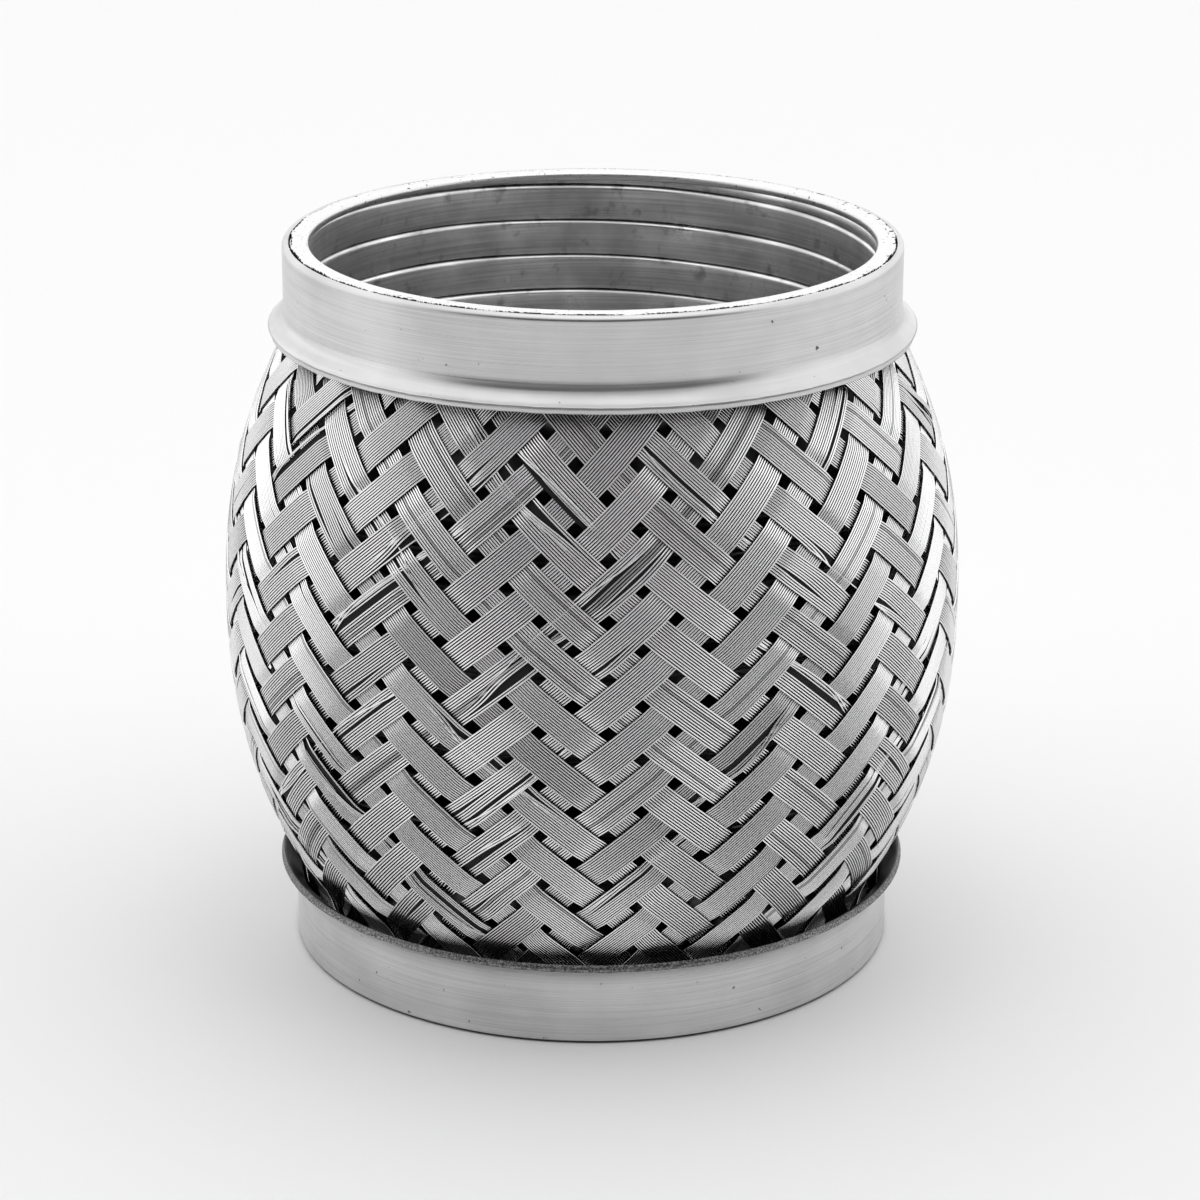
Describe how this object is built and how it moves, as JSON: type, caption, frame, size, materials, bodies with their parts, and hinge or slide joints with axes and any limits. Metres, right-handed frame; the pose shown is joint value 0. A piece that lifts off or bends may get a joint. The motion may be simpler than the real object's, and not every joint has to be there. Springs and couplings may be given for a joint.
{
  "type": "metal bellows expansion joint",
  "caption": "Round flexible metal coupling: pressed end caps clamp a barrel-shaped woven wire braid over a corrugated bellows and an interlocked strip liner.",
  "frame": {"origin": "centre of the lower end face, on the flow axis", "axes": "+Z along the flow axis from the lower end to the upper end"},
  "size_m": [0.1016, 0.1016, 0.1],
  "materials": {
    "cap_steel": "satin, brushed round the axis",
    "braid_wire": "drawn wire, semi-bright",
    "bellows_steel": "smooth rolled",
    "liner_steel": "rolled strip, dull with oil stains"
  },
  "bodies": {
    "lower_end": {"lower_end_cap": "cap_steel", "liner_turn_01": "liner_steel", "liner_turn_02": "liner_steel", "liner_turn_03": "liner_steel", "liner_turn_04": "liner_steel"},
    "lower_stage": {"liner_turn_05": "liner_steel", "liner_turn_06": "liner_steel", "liner_turn_07": "liner_steel"},
    "middle_lower_stage": {"bellows_inner_ply": "bellows_steel", "bellows_outer_ply": "bellows_steel", "braid_sleeve": "braid_wire", "liner_turn_08": "liner_steel", "liner_turn_09": "liner_steel", "liner_turn_10": "liner_steel"},
    "middle_upper_stage": {"liner_turn_11": "liner_steel", "liner_turn_12": "liner_steel", "liner_turn_13": "liner_steel"},
    "upper_stage": {"liner_turn_14": "liner_steel", "liner_turn_15": "liner_steel", "liner_turn_16": "liner_steel"},
    "upper_end": {"upper_end_cap": "cap_steel", "liner_turn_17": "liner_steel", "liner_turn_18": "liner_steel", "liner_turn_19": "liner_steel"}
  },
  "joints": [
    {"name": "lower_tilt_x", "type": "hinge", "parent": "lower_end", "child": "lower_stage", "pos_m": [0, 0, 0.0195], "axis": [1, 0, 0], "range_deg": [-4, 4], "stiffness_Nm_per_rad": 3, "deforming": ["liner_turn_04", "liner_turn_05", "bellows_inner_ply", "bellows_outer_ply", "braid_sleeve"]},
    {"name": "lower_tilt_y", "type": "hinge", "parent": "lower_stage", "child": "middle_lower_stage", "pos_m": [0, 0, 0.0345], "axis": [0, 1, 0], "range_deg": [-4, 4], "stiffness_Nm_per_rad": 3, "deforming": ["liner_turn_06", "liner_turn_07", "liner_turn_08"]},
    {"name": "axial_stroke", "type": "slide", "parent": "middle_lower_stage", "child": "middle_upper_stage", "axis": [0, 0, 1], "range_m": [-0.005, 0.003], "stiffness_N_per_m": 4000, "deforming": ["liner_turn_09", "liner_turn_10", "liner_turn_11", "liner_turn_12"]},
    {"name": "upper_tilt_y", "type": "hinge", "parent": "middle_upper_stage", "child": "upper_stage", "pos_m": [0, 0, 0.0655], "axis": [0, 1, 0], "range_deg": [-4, 4], "stiffness_Nm_per_rad": 3, "deforming": ["liner_turn_13", "liner_turn_14"]},
    {"name": "upper_tilt_x", "type": "hinge", "parent": "upper_stage", "child": "upper_end", "pos_m": [0, 0, 0.0805], "axis": [1, 0, 0], "range_deg": [-4, 4], "stiffness_Nm_per_rad": 3, "deforming": ["liner_turn_15", "liner_turn_16", "liner_turn_17"]}
  ]
}
